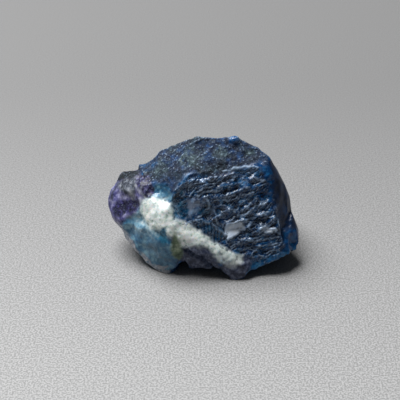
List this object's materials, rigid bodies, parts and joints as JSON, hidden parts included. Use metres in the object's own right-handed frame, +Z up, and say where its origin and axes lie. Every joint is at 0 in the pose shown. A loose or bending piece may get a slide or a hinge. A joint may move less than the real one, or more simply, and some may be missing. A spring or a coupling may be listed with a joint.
{
  "type": "rough afghanite specimen",
  "caption": "Rough broken piece of deep blue afghanite with a ridged face, crossed by a white calcite seam, with a violet knob and a pale blue lobe, lying on a small flat spot.",
  "frame": {"origin": "middle of the bounding box's floor, on the level surface that the stone rests on", "axes": "+Z up, +X to the right across the broad ridged face, +Y from the ridged face to the back"},
  "size_m": [0.0222, 0.0164, 0.0141],
  "materials": {
    "afghanite_stone": "rough broken crystal with a glassy lustre"
  },
  "bodies": {
    "root": {"afghanite": "afghanite_stone"}
  },
  "joints": []
}
